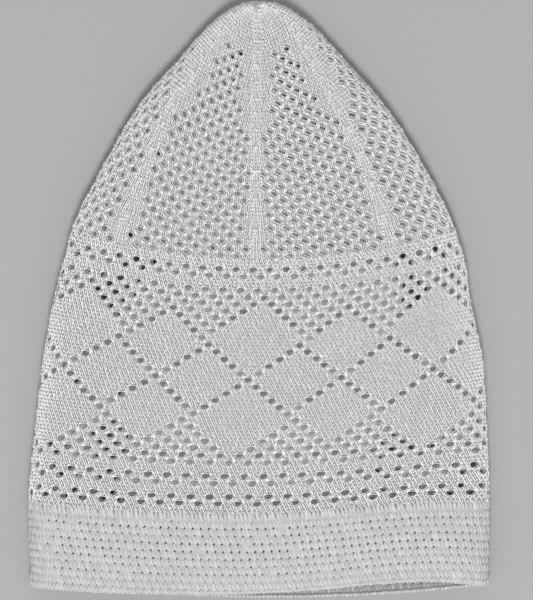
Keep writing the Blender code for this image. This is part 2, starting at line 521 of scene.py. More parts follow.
@dataclass
class BaseSheet:
    """The thin sheet behind the stitches, gathered cell by cell as shares, distances down and faces.

    Near the tip, where there is little room, the sheet lies less deep.
    """

    form: CapForm
    sink: float = 0.00115
    wall: float = 0.0006
    tip_room: float = 0.010
    tip_share: float = 0.5
    shares: list[float] = field(default_factory=list)
    downs: list[float] = field(default_factory=list)
    dips: list[float] = field(default_factory=list)
    faces: list[tuple[int, ...]] = field(default_factory=list)
    known: dict[tuple, int] = field(default_factory=dict)

    def point(self, key: tuple, share: float, down: float, dip: float = 0.0) -> int:
        """The number of the point with this key, made where it is new.

        Args:
            key: names the point.
            share: its share of a lap.
            down: its distance below the tip.
            dip: how far it lies below the sheet's plain level.

        Returns:
            The point's number.
        """
        if key not in self.known:
            self.known[key] = self.loose_point(share, down, dip)
        return self.known[key]

    def loose_point(self, share: float, down: float, dip: float = 0.0) -> int:
        """The number of a new point that no other cell shares.

        Args:
            share: its share of a lap.
            down: its distance below the tip.
            dip: how far it lies below the sheet's plain level.

        Returns:
            The point's number.
        """
        self.shares.append(float(share))
        self.downs.append(float(down))
        self.dips.append(float(dip))
        return len(self.shares) - 1

    def in_order(self, lap: list[int]) -> list[int]:
        """A lap's points in the order of their shares, which are first brought into one lap.

        Args:
            lap: the points' numbers, in any order.

        Returns:
            The numbers in order.
        """
        for point in lap:
            self.shares[point] %= 1.0
        return sorted(lap, key=lambda point: self.shares[point])

    def ring(self, outer: list[int], inner: list[int]) -> None:
        """Closes the space between a cell's outline and its eyelet.

        Args:
            outer: the outline's points, in the order that faces outwards.
            inner: the eyelet's points, one for each of the outline's.
        """
        count = len(outer)
        for here in range(count):
            after = (here + 1) % count
            self.faces.append((outer[here], outer[after], inner[after], inner[here]))

    def zip_laps(self, below: list[int], above: list[int]) -> None:
        """Joins two closed laps whose points don't match with a strip of triangles.

        Args:
            below: points of the lower lap, in order of their share.
            above: points of the upper lap, in order of their share.
        """
        low, high = 0, 0
        while low < len(below) or high < len(above):
            low_share = self.shares[below[(low + 1) % len(below)]] + (low + 1) // len(below)
            high_share = self.shares[above[(high + 1) % len(above)]] + (high + 1) // len(above)
            one, other = below[low % len(below)], above[high % len(above)]
            if high >= len(above) or (low < len(below) and low_share <= high_share):
                self.faces.append((one, below[(low + 1) % len(below)], other))
                low += 1
            else:
                self.faces.append((one, above[(high + 1) % len(above)], other))
                high += 1

    def make(self, name: str, outside: bpy.types.Material, inside: bpy.types.Material) -> bpy.types.Object:
        """The sheet as a closed mesh with its wall inwards.

        Args:
            name: the piece's name.
            outside: the material of its outer face.
            inside: the material of its inner face.

        Returns:
            The new object, with no modifier left on it.
        """
        share, down = np.array(self.shares), np.array(self.downs)
        sink = (self.sink + np.array(self.dips)) * np.clip(down / self.tip_room, self.tip_share, 1.0)
        places = self.form.face(share, down) - self.form.outward(share, down) * sink[:, None]
        used = np.unique([point for face in self.faces for point in face])
        renumber = np.full(len(share), -1)
        renumber[used] = np.arange(len(used))
        faces = [tuple(int(renumber[point]) for point in face) for face in self.faces]
        mesh = bpy.data.meshes.new(name)
        mesh.from_pydata(places[used].tolist(), [], faces)
        mesh.materials.append(outside)
        mesh.materials.append(inside)
        mesh.shade_smooth()
        piece = new_object(name, mesh)
        thicken = piece.modifiers.new("wall", "SOLIDIFY")
        thicken.thickness = self.wall
        thicken.offset = -1.0
        thicken.material_offset = 1
        return made_plain(piece)


@dataclass
class StitchField:
    """Short plump lengths of yarn, gathered as arrays of where each one starts and ends."""

    form: CapForm
    jitter: float = 0.00008
    fold_bump: float = 0.00045
    fold_reach: float = 0.012
    least_bump: float = -0.3
    least_size: float = 0.92
    most_size: float = 1.08
    most_tone: float = 2.0
    starts: list[np.ndarray] = field(default_factory=list)
    ends: list[np.ndarray] = field(default_factory=list)
    sizes: list[np.ndarray] = field(default_factory=list)

    def add(self, start: np.ndarray, end: np.ndarray, half_width: float, half_height: float) -> None:
        """Adds lengths of yarn.

        Args:
            start: (share, down, sink) of each upper end, where sink is its depth below the outer face.
            end: (share, down, sink) of each lower end.
            half_width: half the yarn's width.
            half_height: half its thickness, outwards.
        """
        self.starts.append(start)
        self.ends.append(end)
        self.sizes.append(np.tile([half_height, half_width], (len(start), 1)))

    def arrays(self, rng: np.random.Generator) -> dict[str, np.ndarray]:
        """The field as the places, directions, sizes and tones that the stitches are made from.

        Args:
            rng: the seeded source of small differences.

        Returns:
            Arrays by name, with a row or a value for each stitch.
        """
        start, end = np.concatenate(self.starts), np.concatenate(self.ends)
        sizes = np.concatenate(self.sizes)
        middle = (start + end) / 2
        facing = self.form.outward(middle[:, 0], middle[:, 1])
        from_fold = np.mod(middle[:, 0], 0.5)
        from_fold = np.minimum(from_fold, 0.5 - from_fold) / self.fold_reach
        bump = rng.uniform(self.least_bump, 1.0, len(start)) * self.fold_bump * np.exp(-(from_fold**2))
        first, last = (
            self.form.face(side[:, 0], side[:, 1])
            - facing * side[:, 2:]
            + (facing * bump[:, None] + rng.normal(0.0, self.jitter, facing.shape))
            for side in (start, end)
        )
        length = np.linalg.norm(last - first, axis=1)
        wobble = rng.uniform(self.least_size, self.most_size, (len(start), 2))
        size = np.stack([sizes[:, 0], sizes[:, 1] * wobble[:, 0], length / 2 * wobble[:, 1]], axis=-1)
        return {
            "place": (first + last) / 2,
            "lie": unit(last - first),
            "facing": facing,
            "size": size,
            "tone": rng.normal(0.0, 1.0, len(start)).clip(-self.most_tone, self.most_tone),
        }


def made_plain(piece: bpy.types.Object) -> bpy.types.Object:
    """Turns what the piece's modifiers make into its own mesh, and removes the modifiers.

    Args:
        piece: the piece, with its modifiers live.

    Returns:
        The same piece.
    """
    graph = bpy.context.evaluated_depsgraph_get()
    mesh = bpy.data.meshes.new_from_object(piece.evaluated_get(graph))
    mesh.name = piece.name
    piece.modifiers.clear()
    piece.data = mesh
    return piece


def new_object(name: str, data: bpy.types.ID) -> bpy.types.Object:
    """A new object in the scene that shows this mesh, light or camera.

    Args:
        name: the object's name.
        data: the mesh, light or camera.

    Returns:
        The object.
    """
    made = bpy.data.objects.new(name, data)
    bpy.context.scene.collection.objects.link(made)
    return made


def new_node(
    tree: bpy.types.NodeTree,
    kind: str,
    joins: dict[str | int, bpy.types.NodeSocket] | None = None,
    values: dict[str | int, float | str] | None = None,
    **settings: str,
) -> bpy.types.Node:
    """A new node with its settings, its inputs' own values and its joined inputs.

    Args:
        tree: the tree that it joins.
        kind: the type of node.
        joins: outputs of other nodes, by the inputs that they feed.
        values: plain values, by input.
        settings: the node's own settings.

    Returns:
        The node.
    """
    node = tree.nodes.new(kind)
    for key, setting in settings.items():
        setattr(node, key, setting)
    for key, value in (values or {}).items():
        node.inputs[key].default_value = value
    for key, socket in (joins or {}).items():
        tree.links.new(socket, node.inputs[key])
    return node


class StitchTree:
    """The node tree that puts one closed plump length of yarn on every point of a field."""

    POINTS = "Points"
    SIDES = "Sides"
    RINGS = "Rings"
    YARN = "Yarn"
    VECTORS = ("lie", "facing", "size")

    def __init__(self) -> None:
        """Builds the tree and keeps the identifiers of its inputs."""
        self.tree = bpy.data.node_groups.new("stitches", "GeometryNodeTree")
        kinds = {self.POINTS: "Geometry", self.SIDES: "Int", self.RINGS: "Int", self.YARN: "Material"}
        new_socket = self.tree.interface.new_socket
        self.inputs = {
            name: new_socket(name, in_out="INPUT", socket_type=f"NodeSocket{kind}").identifier
            for name, kind in kinds.items()
        }
        new_socket("Stitches", in_out="OUTPUT", socket_type="NodeSocketGeometry")
        self._wire()

    def _attribute(self, name: str) -> bpy.types.NodeSocket:
        """The output of a node that reads a vector of each point."""
        kind = "GeometryNodeInputNamedAttribute"
        return new_node(self.tree, kind, values={"Name": name}, data_type="FLOAT_VECTOR").outputs["Attribute"]

    def _wire(self) -> None:
        """Makes the nodes and joins them."""
        tree = self.tree
        given = new_node(tree, "NodeGroupInput").outputs
        length = new_node(
            tree,
            "GeometryNodeMeshUVSphere",
            {"Segments": given[self.SIDES], "Rings": given[self.RINGS]},
            {"Radius": 1.0},
        )
        mapped = new_node(
            tree,
            "GeometryNodeStoreNamedAttribute",
            {"Geometry": length.outputs["Mesh"], "Value": length.outputs["UV Map"]},
            {"Name": "yarn_map"},
            data_type="FLOAT2",
            domain="CORNER",
        )
        lie, facing, size = (self._attribute(name) for name in self.VECTORS)
        turn = new_node(
            tree,
            "FunctionNodeAxesToRotation",
            {"Primary Axis": lie, "Secondary Axis": facing},
            primary_axis="Z",
            secondary_axis="X",
        )
        place = new_node(
            tree,
            "GeometryNodeInstanceOnPoints",
            {
                "Points": given[self.POINTS],
                "Instance": mapped.outputs["Geometry"],
                "Rotation": turn.outputs["Rotation"],
                "Scale": size,
            },
        )
        stitches = place.outputs["Instances"]
        for kind in ("GeometryNodeRealizeInstances", "GeometryNodeSetShadeSmooth"):
            stitches = new_node(tree, kind, {"Geometry": stitches}).outputs["Geometry"]
        dressed = new_node(
            tree, "GeometryNodeSetMaterial", {"Geometry": stitches, "Material": given[self.YARN]}
        )
        new_node(tree, "NodeGroupOutput", {"Stitches": dressed.outputs["Geometry"]})

    def make(
        self, name: str, arrays: dict[str, np.ndarray], yarn: bpy.types.Material, sides: int, rings: int
    ) -> bpy.types.Object:
        """One piece of stitches.

        Args:
            name: the piece's name.
            arrays: the field's places, directions, sizes and tones.
            yarn: the material.
            sides: how many sides a length of yarn has.
            rings: how many rings it has from end to end.

        Returns:
            The piece, as a plain mesh.
        """
        mesh = bpy.data.meshes.new(name)
        mesh.vertices.add(len(arrays["place"]))
        mesh.vertices.foreach_set("co", arrays["place"].astype(np.float32).ravel())
        for key in self.VECTORS:
            made = mesh.attributes.new(key, "FLOAT_VECTOR", "POINT")
            made.data.foreach_set("vector", arrays[key].astype(np.float32).ravel())
        tone = mesh.attributes.new("tone", "FLOAT", "POINT")
        tone.data.foreach_set("value", arrays["tone"].astype(np.float32))
        piece = new_object(name, mesh)
        knit = piece.modifiers.new("stitches", "NODES")
        knit.node_group = self.tree
        for key, value in ((self.SIDES, sides), (self.RINGS, rings), (self.YARN, yarn)):
            knit[self.inputs[key]] = value
        made_plain(piece)
        for key in self.VECTORS:
            if key in piece.data.attributes:
                piece.data.attributes.remove(piece.data.attributes[key])
        return piece


def new_material(name: str, values: dict[str, float | tuple[float, ...]]) -> bpy.types.Material:
    """A new material whose main shader has these plain values, by input.

    Args:
        name: the material's name.
        values: plain values of the shader's inputs.

    Returns:
        The material.
    """
    material = bpy.data.materials.new(name)
    material.use_nodes = True
    for key, value in values.items():
        material.node_tree.nodes["Principled BSDF"].inputs[key].default_value = value
    return material


@dataclass(frozen=True)
class CottonYarn:
    """Matt white cotton yarn, with a tone of its own for each stitch, its twist and fine loose fibres."""

    name: str
    shade: float = 0.80
    tone_swing: float = 0.03
    roughness: float = 0.88
    specular: float = 0.3
    sheen: float = 0.15
    sheen_roughness: float = 0.6
    fibre_scale: float = 2600.0
    fibre_detail: float = 2.0
    fibre_depth: float = 0.35
    fibre_reach: float = 0.0002
    twist_scale: float = 1.9
    cloud_scale: float = 22.0
    cloud_detail: float = 3.0
    cloud_swing: float = 0.03

    def build(self) -> bpy.types.Material:
        """The material, with its nodes.

        Returns:
            The new material.
        """
        plain = {
            "Roughness": self.roughness,
            "Sheen Weight": self.sheen,
            "Sheen Roughness": self.sheen_roughness,
            "Specular IOR Level": self.specular,
        }
        material = new_material(self.name, plain)
        tree = material.node_tree
        shader = tree.nodes["Principled BSDF"]
        place = new_node(tree, "ShaderNodeTexCoord").outputs["Object"]
        clouds, fibres = (
            new_node(tree, "ShaderNodeTexNoise", {"Vector": place}, {"Scale": scale, "Detail": detail})
            for scale, detail in (
                (self.cloud_scale, self.cloud_detail),
                (self.fibre_scale, self.fibre_detail),
            )
        )
        tone, wound = (
            new_node(tree, "ShaderNodeAttribute", attribute_name=name) for name in ("tone", "yarn_map")
        )
        value = self.shade - self.cloud_swing / 2
        value = new_node(
            tree,
            "ShaderNodeMath",
            {0: tone.outputs["Fac"]},
            {1: self.tone_swing, 2: value},
            operation="MULTIPLY_ADD",
        )
        value = new_node(
            tree,
            "ShaderNodeMath",
            {0: clouds.outputs["Fac"], 2: value.outputs["Value"]},
            {1: self.cloud_swing},
            operation="MULTIPLY_ADD",
        )
        channels = dict.fromkeys(("Red", "Green", "Blue"), value.outputs["Value"])
        colour = new_node(tree, "ShaderNodeCombineColor", channels)
        twist = new_node(
            tree,
            "ShaderNodeTexWave",
            {"Vector": wound.outputs["Vector"]},
            {"Scale": self.twist_scale},
            bands_direction="DIAGONAL",
        )
        height = new_node(
            tree, "ShaderNodeMath", {0: fibres.outputs["Fac"], 1: twist.outputs["Fac"]}, operation="ADD"
        )
        relief = new_node(
            tree,
            "ShaderNodeBump",
            {"Height": height.outputs["Value"]},
            {"Strength": self.fibre_depth, "Distance": self.fibre_reach},
        )
        tree.links.new(colour.outputs["Color"], shader.inputs["Base Color"])
        tree.links.new(relief.outputs["Normal"], shader.inputs["Normal"])
        return material


@dataclass(frozen=True)
class PlainPaint:
    """A plain matt finish for the floor."""

    name: str
    shade: float
    roughness: float = 0.9

    def build(self) -> bpy.types.Material:
        """The material, with its nodes."""
        colour = (self.shade, self.shade, self.shade, 1.0)
        return new_material(self.name, {"Base Color": colour, "Roughness": self.roughness})


def dress(piece: bpy.types.Object, zone: Zone) -> None:
    """Makes a piece ride on the cap, hides its zone's imported node and logs its triangles.

    Args:
        piece: the piece, as a plain mesh.
        zone: the zone that it shows.
    """
    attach(piece, BODY)
    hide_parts(zone.node)
    piece.data.calc_loop_triangles()
    LOG.info("%s: %d triangles", piece.name, len(piece.data.loop_triangles))


def both_layers(arrays: dict[str, np.ndarray]) -> dict[str, dict[str, np.ndarray]]:
    """Splits a field into its front and back layers, by the way each stitch faces.

    Args:
        arrays: the field's arrays, by name.

    Returns:
        The arrays of each layer, by the layer's name.
    """
    front = arrays["facing"][:, 2] >= 0.0
    layers = {"front": front, "back": ~front}
    return {name: {key: values[kept] for key, values in arrays.items()} for name, kept in layers.items()}


@dataclass(frozen=True)
class StitchSize:
    """The sizes of a plain stitch, as shares of its own width and height where it says share."""

    left_half_width: float = 0.00048
    right_half_width: float = 0.00040
    half_height: float = 0.00044
    right_extra_sink: float = 0.00024
    top_spread_share: float = 0.36
    bottom_spread_share: float = 0.14
    reach_up_share: float = 0.80
    reach_down_share: float = 0.55

    @property
    def legs(self) -> tuple[tuple[float, float, float], ...]:
        """Each leg's side, half width and extra depth."""
        return ((-1.0, self.left_half_width, 0.0), (1.0, self.right_half_width, self.right_extra_sink))


@dataclass(frozen=True)
class EyeletSize:
    """An eyelet, wide at the top and pointed at the bottom, and the yarn round it.

    Its outline and its cell's corners go round from the upper left. The outline and the strands at the
    corners are shares of the cell's width and height, and the corners are counted in half cells.
    """

    outline: tuple[tuple[float, float], ...] = (
        (-0.33, -0.33),
        (-0.43, -0.02),
        (-0.25, 0.28),
        (0.00, 0.43),
        (0.25, 0.28),
        (0.43, -0.02),
        (0.33, -0.33),
        (0.00, -0.41),
    )
    corners: tuple[tuple[int, int], ...] = (
        (-1, -1),
        (-1, 0),
        (-1, 1),
        (0, 1),
        (1, 1),
        (1, 0),
        (1, -1),
        (0, -1),
    )
    widest: float = 0.475
    hole_dip: float = 0.00010
    swing: float = 0.10
    shift: float = 0.05
    rim_spread: float = 1.13
    rim_length_share: float = 0.68
    rim_half_width: float = 0.00027
    rim_half_height: float = 0.00036
    bar_places: tuple[tuple[float, float], ...] = ((-1.0, -1.0), (1.0, -1.0), (1.0, 1.0), (-1.0, 1.0))
    bar_out: float = 0.43
    bar_reach: float = 0.25
    bar_half_width: float = 0.00044
    bar_half_height: float = 0.00040

    def _bars(self) -> tuple[np.ndarray, np.ndarray]:
        """The two ends of the strand at each corner of the cell, as shares of the cell.

        Returns:
            The upper ends and the lower ends, one row each.
        """
        places = np.array(self.bar_places)
        across = np.stack([places[:, 1], -places[:, 0]], axis=-1)
        across *= np.where(across[:, 1:] < 0.0, 1.0, -1.0)
        middle = places * self.bar_out
        return middle + across * self.bar_reach, middle - across * self.bar_reach

    def drawn(
        self,
        cell: tuple[int, int],
        rng: np.random.Generator,
        shares: tuple[float, float] = (1.0, 1.0),
        lean: float = 0.0,
    ) -> tuple[np.ndarray, np.ndarray]:
        """One eyelet, a little different from the others.

        Args:
            cell: its column and row.
            rng: the seeded source of small differences.
            shares: its width and height, as shares of the usual ones.
            lean: how far it leans to the right for each row down.

        Returns:
            Its middle, and its outline's places from the middle, in columns and rows.
        """
        scale = 1.0 + rng.uniform(-self.swing, self.swing, 2)
        middle = np.array(cell) + rng.uniform(-self.shift, self.shift, 2)
        outline = np.array(self.outline) * scale * shares
        outline[:, 0] += outline[:, 1] * lean
        return middle, np.clip(outline, -self.widest, self.widest)

    def knit(
        self,
        sheet: BaseSheet,
        stitches: StitchField,
        outer: list[int],
        eyelet: tuple[np.ndarray, np.ndarray],
        places: Callable[[np.ndarray, float], np.ndarray],
    ) -> None:
        """Leaves an eyelet open in a cell, with a rim of yarn and a strand at each corner.

        Args:
            sheet: the base sheet.
            stitches: the field that the yarn joins.
            outer: the cell's outline in the sheet.
            eyelet: its middle and its outline from there, in columns and rows.
            places: gives (share, down, sink) of places in columns and rows at a level.
        """
        middle, outline = eyelet
        inner = [
            sheet.loose_point(share % 1.0, down, self.hole_dip)
            for share, down, _ in places(middle + outline, 0.0)
        ]
        sheet.ring(outer, inner)
        rim = middle + outline * self.rim_spread
        rim_after = np.roll(rim, -1, axis=0)
        halfway, reach = (rim + rim_after) / 2, (rim_after - rim) * self.rim_length_share
        upper, lower = self._bars()
        for start, end, half_width, half_height in (
            (halfway - reach, halfway + reach, self.rim_half_width, self.rim_half_height),
            (middle + upper, middle + lower, self.bar_half_width, self.bar_half_height),
        ):
            stitches.add(places(start, half_height), places(end, half_height), half_width, half_height)


@dataclass
class LaceKnit:
    """The tubular lace: the lace wall, and the crown's first rows, on one lattice of cells."""

    chart: LaceChart
    rng: np.random.Generator
    stitch: StitchSize = StitchSize()
    eyelet: EyeletSize = EyeletSize()
    wales_in_cell: tuple[tuple[float, float], ...] = (
        (-0.375, -0.25),
        (0.125, -0.25),
        (-0.125, 0.25),
        (0.375, 0.25),
    )
    wale_width: float = 0.5
    course_height: float = 0.5
    wale_lean: float = 0.25

    def __post_init__(self) -> None:
        """Charts the open cells."""
        self.map = self.chart.eyelet_map()

    def knit(self, sheet: BaseSheet, stitches: StitchField, first_row: int, last_row: int) -> None:
        """Fills rows of cells into a sheet and a field of stitches.

        Args:
            sheet: the base sheet that the cells join.
            stitches: the field that the stitches join.
            first_row: the highest row.
            last_row: the lowest row.
        """
        plain = []
        for row in range(first_row, last_row + 1):
            for column in range(self.chart.columns):
                if self.chart.is_eyelet(column, row):
                    outer = [
                        self.corner(sheet, 2 * column + dx, 2 * row + dy) for dx, dy in self.eyelet.corners
                    ]
                    eyelet = self.eyelet.drawn((column, row), self.rng)
                    self.eyelet.knit(sheet, stitches, outer, eyelet, self._places)
                else:
                    self._solid(sheet, column, row)
                    plain.append((column, row))
        self._legs(stitches, np.array(plain, dtype=float))

    def corner(self, sheet: BaseSheet, twice_column: int, twice_row: int) -> int:
        """The point at a place of the lattice.

        Args:
            sheet: the base sheet.
            twice_column: the place across, in half cells.
            twice_row: the place down, in half cells.

        Returns:
            The point's number.
        """
        column = twice_column % (2 * self.chart.columns)
        key = ("lace", column, twice_row)
        if key in sheet.known:
            return sheet.known[key]
        share = self.chart.share(column / 2, twice_row / 2)
        dip = self.map.dip(np.array(column / 2), np.array(twice_row / 2))
        return sheet.point(key, share, self.chart.down(twice_row / 2), float(dip))

    def _solid(self, sheet: BaseSheet, column: int, row: int) -> None:
        """Closes a cell with four quads.

        Args:
            sheet: the base sheet.
            column: the cell's column.
            row: the cell's row.
        """
        for right in (0, 1):
            for lower in (0, 1):
                left, top = 2 * column - 1 + right, 2 * row - 1 + lower
                quad = ((left, top + 1), (left + 1, top + 1), (left + 1, top), (left, top))
                sheet.faces.append(tuple(self.corner(sheet, *place) for place in quad))

    def _legs(self, stitches: StitchField, cells: np.ndarray) -> None:
        """Puts four stitches in each plain cell, each a V of two legs that leans along its wale.

        Args:
            stitches: the field that the stitches join.
            cells: the (column, row) of each plain cell.
        """
        size = self.stitch
        for side, half_width, extra_sink in size.legs:
            for dx, dy in self.wales_in_cell:
                middle = cells + np.array([dx, dy])
                up = np.array([-self.wale_lean, -self.course_height]) * size.reach_up_share
                down = np.array([self.wale_lean, self.course_height]) * size.reach_down_share
                top = middle + up + np.array([side * size.top_spread_share * self.wale_width, 0.0])
                low = middle + down + np.array([side * size.bottom_spread_share * self.wale_width, 0.0])
                level = size.half_height + extra_sink
                ends = self._places(top, level), self._places(low, level)
                stitches.add(*ends, half_width, size.half_height)

    def _places(self, cells: np.ndarray, level: float) -> np.ndarray:
        """(share, down, sink) of places given in columns and rows.

        Args:
            cells: places, in columns and rows.
            level: the depth on plain knitting.

        Returns:
            A row of (share, down, sink) for each place.
        """
        columns, rows = cells[:, 0], cells[:, 1]
        sink = level + self.map.dip(columns, rows)
        return np.stack([self.chart.share(columns, rows), self.chart.down(rows), sink], axis=-1)


@dataclass
class GoreKnit:
    """The crown's six gores above the tubular rows, closed at the tip.

    A level is a half row: its number, its distance below the tip and its gores' outermost stitch.
    The middle of a level's strip is counted in rows above it, and the room beside a rib in stitches.
    """

    form: CapForm
    lace: LaceKnit
    chart: GoreChart
    rng: np.random.Generator
    stitch: StitchSize = StitchSize()
    eyelet: EyeletSize = EyeletSize()
    narrow_share: float = 0.85
    eyelet_shares: tuple[float, float] = (0.84, 0.88)
    eyelet_leans: tuple[float, ...] = (0.55, 0.50, 0.35, 0.35, 0.20, 0.20)
    rib_spreads: tuple[tuple[float, float], ...] = ((0.62, 0.08), (1.45, 0.85))
    rib_sink: float = 0.00042
    least_lap: float = 0.001
    level_middle: float = 0.25
    rib_room: float = 0.25
    tip_down: float = 0.0031
    tip_place: tuple[float, float] = (0.25, 0.0021)
    tip_stitches: int = 34
    tip_reach: float = 0.0042

    def __post_init__(self) -> None:
        """Charts the open cells and the levels."""
        self.maps = [self.chart.eyelet_map(gore) for gore in range(self.chart.gores)]
        self.levels = self._levels()
        self.reach = max(level[2] for level in self.levels)

    def _levels(self) -> list[tuple[int, float, int]]:
        """The levels, from the lowest up.

        Returns:
            The levels.
        """
        found = []
        reach = None
        twice_row = 2 * self.chart.first_row + 1
        while True:
            down = float(self.lace.chart.down(twice_row / 2))
            if down < self.tip_down:
                return found
            pitch, half = float(self.chart.pitch(down)), float(self.chart.half_gore(down))
            here = max(int((half - pitch / 2) / pitch), 0)
            reach = here if reach is None else min(here, reach)
            found.append((twice_row, down, reach))
            twice_row -= 1

    def knit(self, sheet: BaseSheet, stitches: StitchField) -> None:
        """Fills the gores into a sheet and a field of stitches.

        Args:
            sheet: the base sheet that the gores join.
            stitches: the field that the stitches join.
        """
        for low, upper in zip(self.levels, self.levels[1:]):
            for gore in range(self.chart.gores):
                self._strip(sheet, gore, low, upper)
        self._join_below(sheet)
        self._close_tip(sheet)
        self._eyelets(sheet, stitches)
        self._legs(stitches)
        self._ribs(stitches)
        self._tip(stitches)

    def _point(self, sheet: BaseSheet, gore: int, stitch: int, twice_row: int, down: float) -> int:
        """The point at a stitch's edge in a gore.

        Args:
            sheet: the base sheet.
            gore: the gore's number, from 0.
            stitch: the stitch, from the gore's middle.
            twice_row: the place down, in half rows.
            down: the distance below the tip.

        Returns:
            The point's number.
        """
        key = ("gore", gore, stitch, twice_row)
        if key in sheet.known:
            return sheet.known[key]
        share = float(self.chart.share(gore, np.array(float(stitch)), np.array(down))) % 1.0
        dip = self.maps[gore].dip(np.array(stitch / 2), np.array(twice_row / 2))
        return sheet.point(key, share, down, float(dip))

    def _rib(self, sheet: BaseSheet, gore: int, twice_row: int, down: float) -> int:
        """The point on the rib at a gore's left.

        Args:
            sheet: the base sheet.
            gore: the gore's number, from 0.
            twice_row: the place down, in half rows.
            down: the distance below the tip.

        Returns:
            The point's number.
        """
        number = gore % self.chart.gores
        share = self.chart.first_rib_share + number / self.chart.gores
        return sheet.point(("rib", number, twice_row), share % 1.0, down)

    def _open_cells(self, gore: int, twice_row: int) -> set[int]:
        """The half columns of a gore's strip that belong to eyelets.

        Args:
            gore: the gore's number, from 0.
            twice_row: the strip's lower edge, in half rows.

        Returns:
            The half columns' numbers.
        """
        halves = set()
        for column in range(-self.reach, self.reach + 1):
            if self.chart.is_eyelet(gore, column, twice_row // 2):
                halves |= {2 * column - 1, 2 * column}
        return halves

    def _edge(self, sheet: BaseSheet, gore: int, level: tuple[int, float, int]) -> dict[int, int]:
        """A gore's points along one level, by stitch.

        Args:
            sheet: the base sheet.
            gore: the gore's number, from 0.
            level: the level.

        Returns:
            The points' numbers, by stitch.
        """
        twice_row, down, reach = level
        return {
            stitch: self._point(sheet, gore, stitch, twice_row, down) for stitch in range(-reach, reach + 1)
        }

    def _strip(
        self, sheet: BaseSheet, gore: int, low: tuple[int, float, int], upper: tuple[int, float, int]
    ) -> None:
        """Closes half a row of one gore, out to the ribs at both its sides.

        Args:
            sheet: the base sheet.
            gore: the gore's number, from 0.
            low: the level at its lower edge.
            upper: the level at its upper edge.
        """
        open_halves = self._open_cells(gore, low[0])
        lower, above = self._edge(sheet, gore, low), self._edge(sheet, gore, upper)
        low_reach, up_reach = low[2], upper[2]
        for stitch in range(-up_reach, up_reach):
            if stitch not in open_halves:
                sheet.faces.append((lower[stitch], lower[stitch + 1], above[stitch + 1], above[stitch]))
        right_low, right_up = (self._rib(sheet, gore + 1, *level[:2]) for level in (low, upper))
        left_low, left_up = (self._rib(sheet, gore, *level[:2]) for level in (low, upper))
        for stitch in range(up_reach, low_reach):
            sheet.faces.append((lower[stitch], lower[stitch + 1], above[up_reach]))
            sheet.faces.append((lower[-stitch - 1], lower[-stitch], above[-up_reach]))
        sheet.faces.append((lower[low_reach], right_low, right_up, above[up_reach]))
        sheet.faces.append((left_low, lower[-low_reach], above[-up_reach], left_up))

    def _lap(self, sheet: BaseSheet, level: tuple[int, float, int]) -> list[int]:
        """The points of one lap of the gores, in order of their share.

        Args:
            sheet: the base sheet.
            level: the lap's level.

        Returns:
            The points' numbers.
        """
        points = []
        for gore in range(self.chart.gores):
            points.append(self._rib(sheet, gore, *level[:2]))
            points += self._edge(sheet, gore, level).values()
        return sheet.in_order(points)

    def _join_below(self, sheet: BaseSheet) -> None:
        """Joins the gores' lowest lap to the tubular lace's highest one.

        Args:
            sheet: the base sheet.
        """
        lace = self.lace
        twice_row = 2 * (self.chart.first_row + 1)
        below = [lace.corner(sheet, column, twice_row) for column in range(2 * lace.chart.columns)]
        sheet.zip_laps(sheet.in_order(below), self._lap(sheet, self.levels[0]))

    def _close_tip(self, sheet: BaseSheet) -> None:
        """Closes the highest lap to one point.

        Args:
            sheet: the base sheet.
        """
        lap = self._lap(sheet, self.levels[-1])
        tip = sheet.loose_point(*self.tip_place)
        for here, point in enumerate(lap):
            sheet.faces.append((point, lap[(here + 1) % len(lap)], tip))

    def _eyelets(self, sheet: BaseSheet, stitches: StitchField) -> None:
        """Leaves the gores' eyelets open, each with its yarn.

        Args:
            sheet: the base sheet.
            stitches: the field that the stitches join.
        """
        downs = {level[0]: level[1] for level in self.levels}
        for row in range(self.chart.last_eyelet_row, self.chart.first_row + 1):
            for column in range(-self.reach, self.reach + 1):
                for gore in range(self.chart.gores):
                    if not self.chart.is_eyelet(gore, column, row):
                        continue
                    outer = [
                        self._point(sheet, gore, 2 * column + dx, 2 * row + dy, downs[2 * row + dy])
                        for dx, dy in self.eyelet.corners
                    ]
                    lean = self.eyelet_leans[gore]
                    eyelet = self.eyelet.drawn((column, row), self.rng, self.eyelet_shares, lean)
                    self.eyelet.knit(sheet, stitches, outer, eyelet, partial(self._places, gore))

    def _places(self, gore: int, cells: np.ndarray, level: float) -> np.ndarray:
        """(share, down, sink) of places given in columns and rows of a gore.

        Args:
            gore: the gore's number, from 0.
            cells: places, in the gore's columns and rows.
            level: the depth on plain knitting.

        Returns:
            A row of (share, down, sink) for each place.
        """
        down = np.maximum(self.lace.chart.down(cells[:, 1]), 0.0)
        share = self.chart.share(gore, cells[:, 0] * 2.0, down)
        sink = level + self.maps[gore].dip(cells[:, 0], cells[:, 1])
        return np.stack([share, down, sink], axis=-1)

    def _tip(self, stitches: StitchField) -> None:
        """Draws the last stitches together along the tip's short ridge.

        Args:
            stitches: the field that the stitches join.
        """
        size, count = self.stitch, self.tip_stitches
        share, sink = np.arange(count) / count, np.full(count, size.half_height)
        ends = [
            np.stack([share, np.full(count, down), sink], axis=-1)
            for down in (self.tip_place[1], self.tip_reach)
        ]
        stitches.add(*ends, size.left_half_width, size.half_height)

